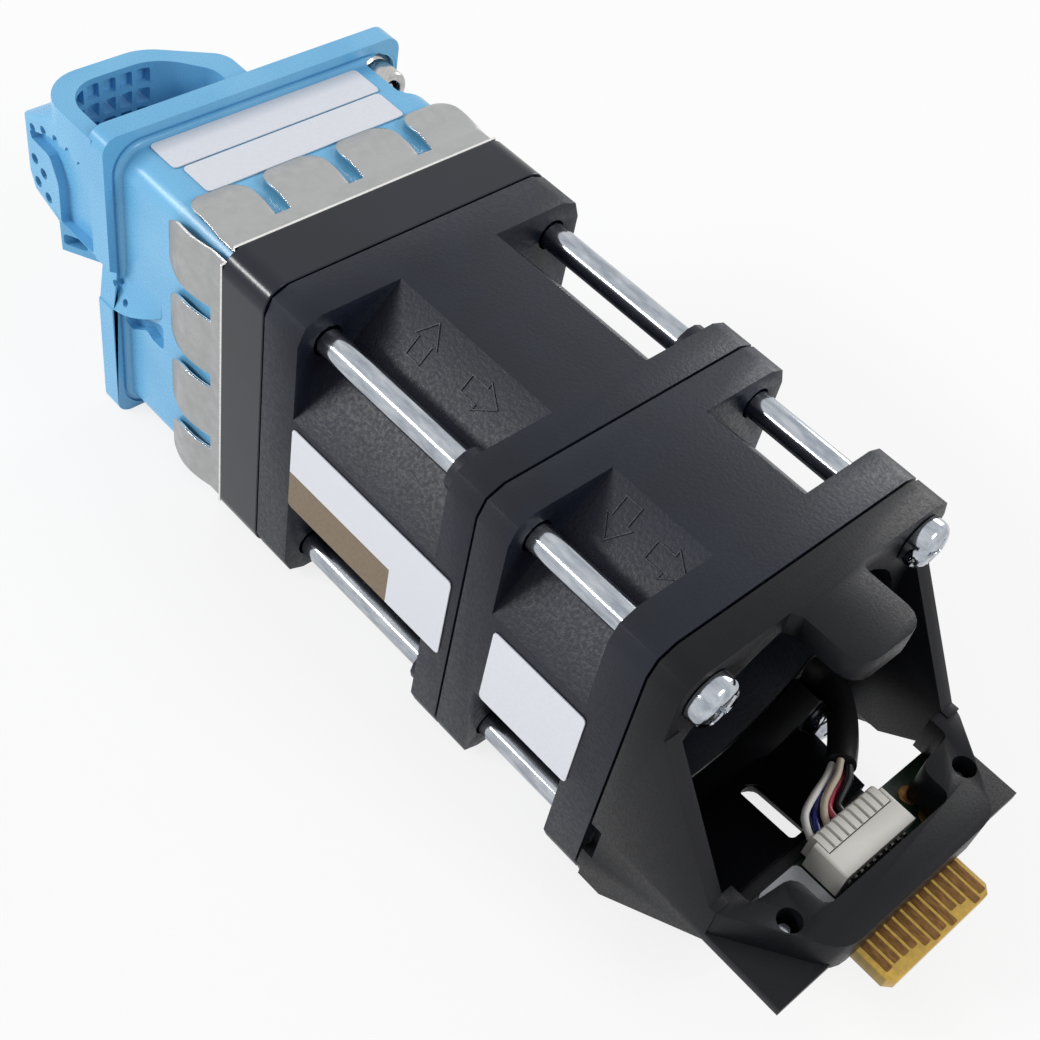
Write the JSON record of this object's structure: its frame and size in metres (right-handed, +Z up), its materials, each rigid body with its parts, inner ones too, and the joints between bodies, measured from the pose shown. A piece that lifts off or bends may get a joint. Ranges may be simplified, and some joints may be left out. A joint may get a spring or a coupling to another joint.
{
  "type": "plug-in fan module",
  "caption": "Plug-in rack switch fan module: blue perforated grip housing, two axial fans back to back on long tie screws, rear bracket with a card-edge board.",
  "frame": {"origin": "centre of the bounding box's bottom: midway along the module, under the fans' axis, on the plane that it rests on", "axes": "+Z up towards the labelled side, +Y along the air path from the grip to the card edge, +X towards the grip's side"},
  "size_m": [0.0416, 0.132, 0.0409],
  "materials": {
    "blue": "satin moulded",
    "black": "spark-eroded texture",
    "gloss_black": "semi-gloss moulded",
    "impeller": "smooth moulded",
    "steel": "rolled sheet",
    "zinc": "bright zinc plating",
    "yoke": "drawn steel",
    "magnet": "sintered ferrite",
    "copper": "enamelled winding",
    "board": "solder mask",
    "card": "bare laminate with plated fingers",
    "ivory": "moulded nylon",
    "paper": "coated label stock",
    "sleeve": "soft jacket"
  },
  "bodies": {
    "module": {"front_housing": "blue", "inlet_collar": "gloss_black", "rear_bracket": "black", "card_edge_board": "card", "board_header": "ivory", "wire_plug": "ivory", "screw_ferrule": "zinc", "board_screw_left": "zinc", "board_screw_right": "zinc", "lead_sleeve": "sleeve", "housing_label_front": "paper", "housing_label_rear": "paper", "fan_1_label": "paper", "fan_2_label": "paper", "board_label": "paper", "spring_strip_top": "steel", "spring_strip_bottom": "steel", "spring_strip_left": "steel", "spring_strip_right": "steel", "tie_screw_1": "zinc", "tie_screw_2": "zinc", "tie_screw_3": "zinc", "tie_screw_4": "zinc", "lead_wire_1": "sleeve", "lead_wire_2": "sleeve", "lead_wire_3": "sleeve", "lead_wire_4": "sleeve", "lead_wire_5": "sleeve", "fan_1_frame": "black", "fan_1_bearing_inner": "yoke", "fan_1_bearing_outer": "yoke", "fan_1_stator": "copper", "fan_1_board": "board", "fan_2_frame": "black", "fan_2_bearing_inner": "yoke", "fan_2_bearing_outer": "yoke", "fan_2_stator": "copper", "fan_2_board": "board"},
    "fan_1_rotor": {"fan_1_impeller": "impeller", "fan_1_rotor_yoke": "yoke", "fan_1_magnet": "magnet", "fan_1_shaft": "zinc"},
    "fan_2_rotor": {"fan_2_impeller": "impeller", "fan_2_rotor_yoke": "yoke", "fan_2_magnet": "magnet", "fan_2_shaft": "zinc"},
    "screw_slider": {"retaining_ring": "zinc"},
    "captive_screw_body": {"captive_screw": "zinc"}
  },
  "joints": [
    {"name": "fan_1_spin", "type": "hinge", "parent": "module", "child": "fan_1_rotor", "pos_m": [0, -0.0066, 0.02], "axis": [0, 1, 0], "continuous": true},
    {"name": "fan_2_spin", "type": "hinge", "parent": "module", "child": "fan_2_rotor", "pos_m": [0, 0.0244, 0.02], "axis": [0, -1, 0], "continuous": true},
    {"name": "captive_screw_slide", "type": "slide", "parent": "module", "child": "screw_slider", "axis": [0, 1, 0], "range_m": [0, 0.0025]},
    {"name": "captive_screw_turn", "type": "hinge", "parent": "screw_slider", "child": "captive_screw_body", "pos_m": [-0.0174, -0.0532, 0.0362], "axis": [0, 1, 0], "continuous": true}
  ]
}
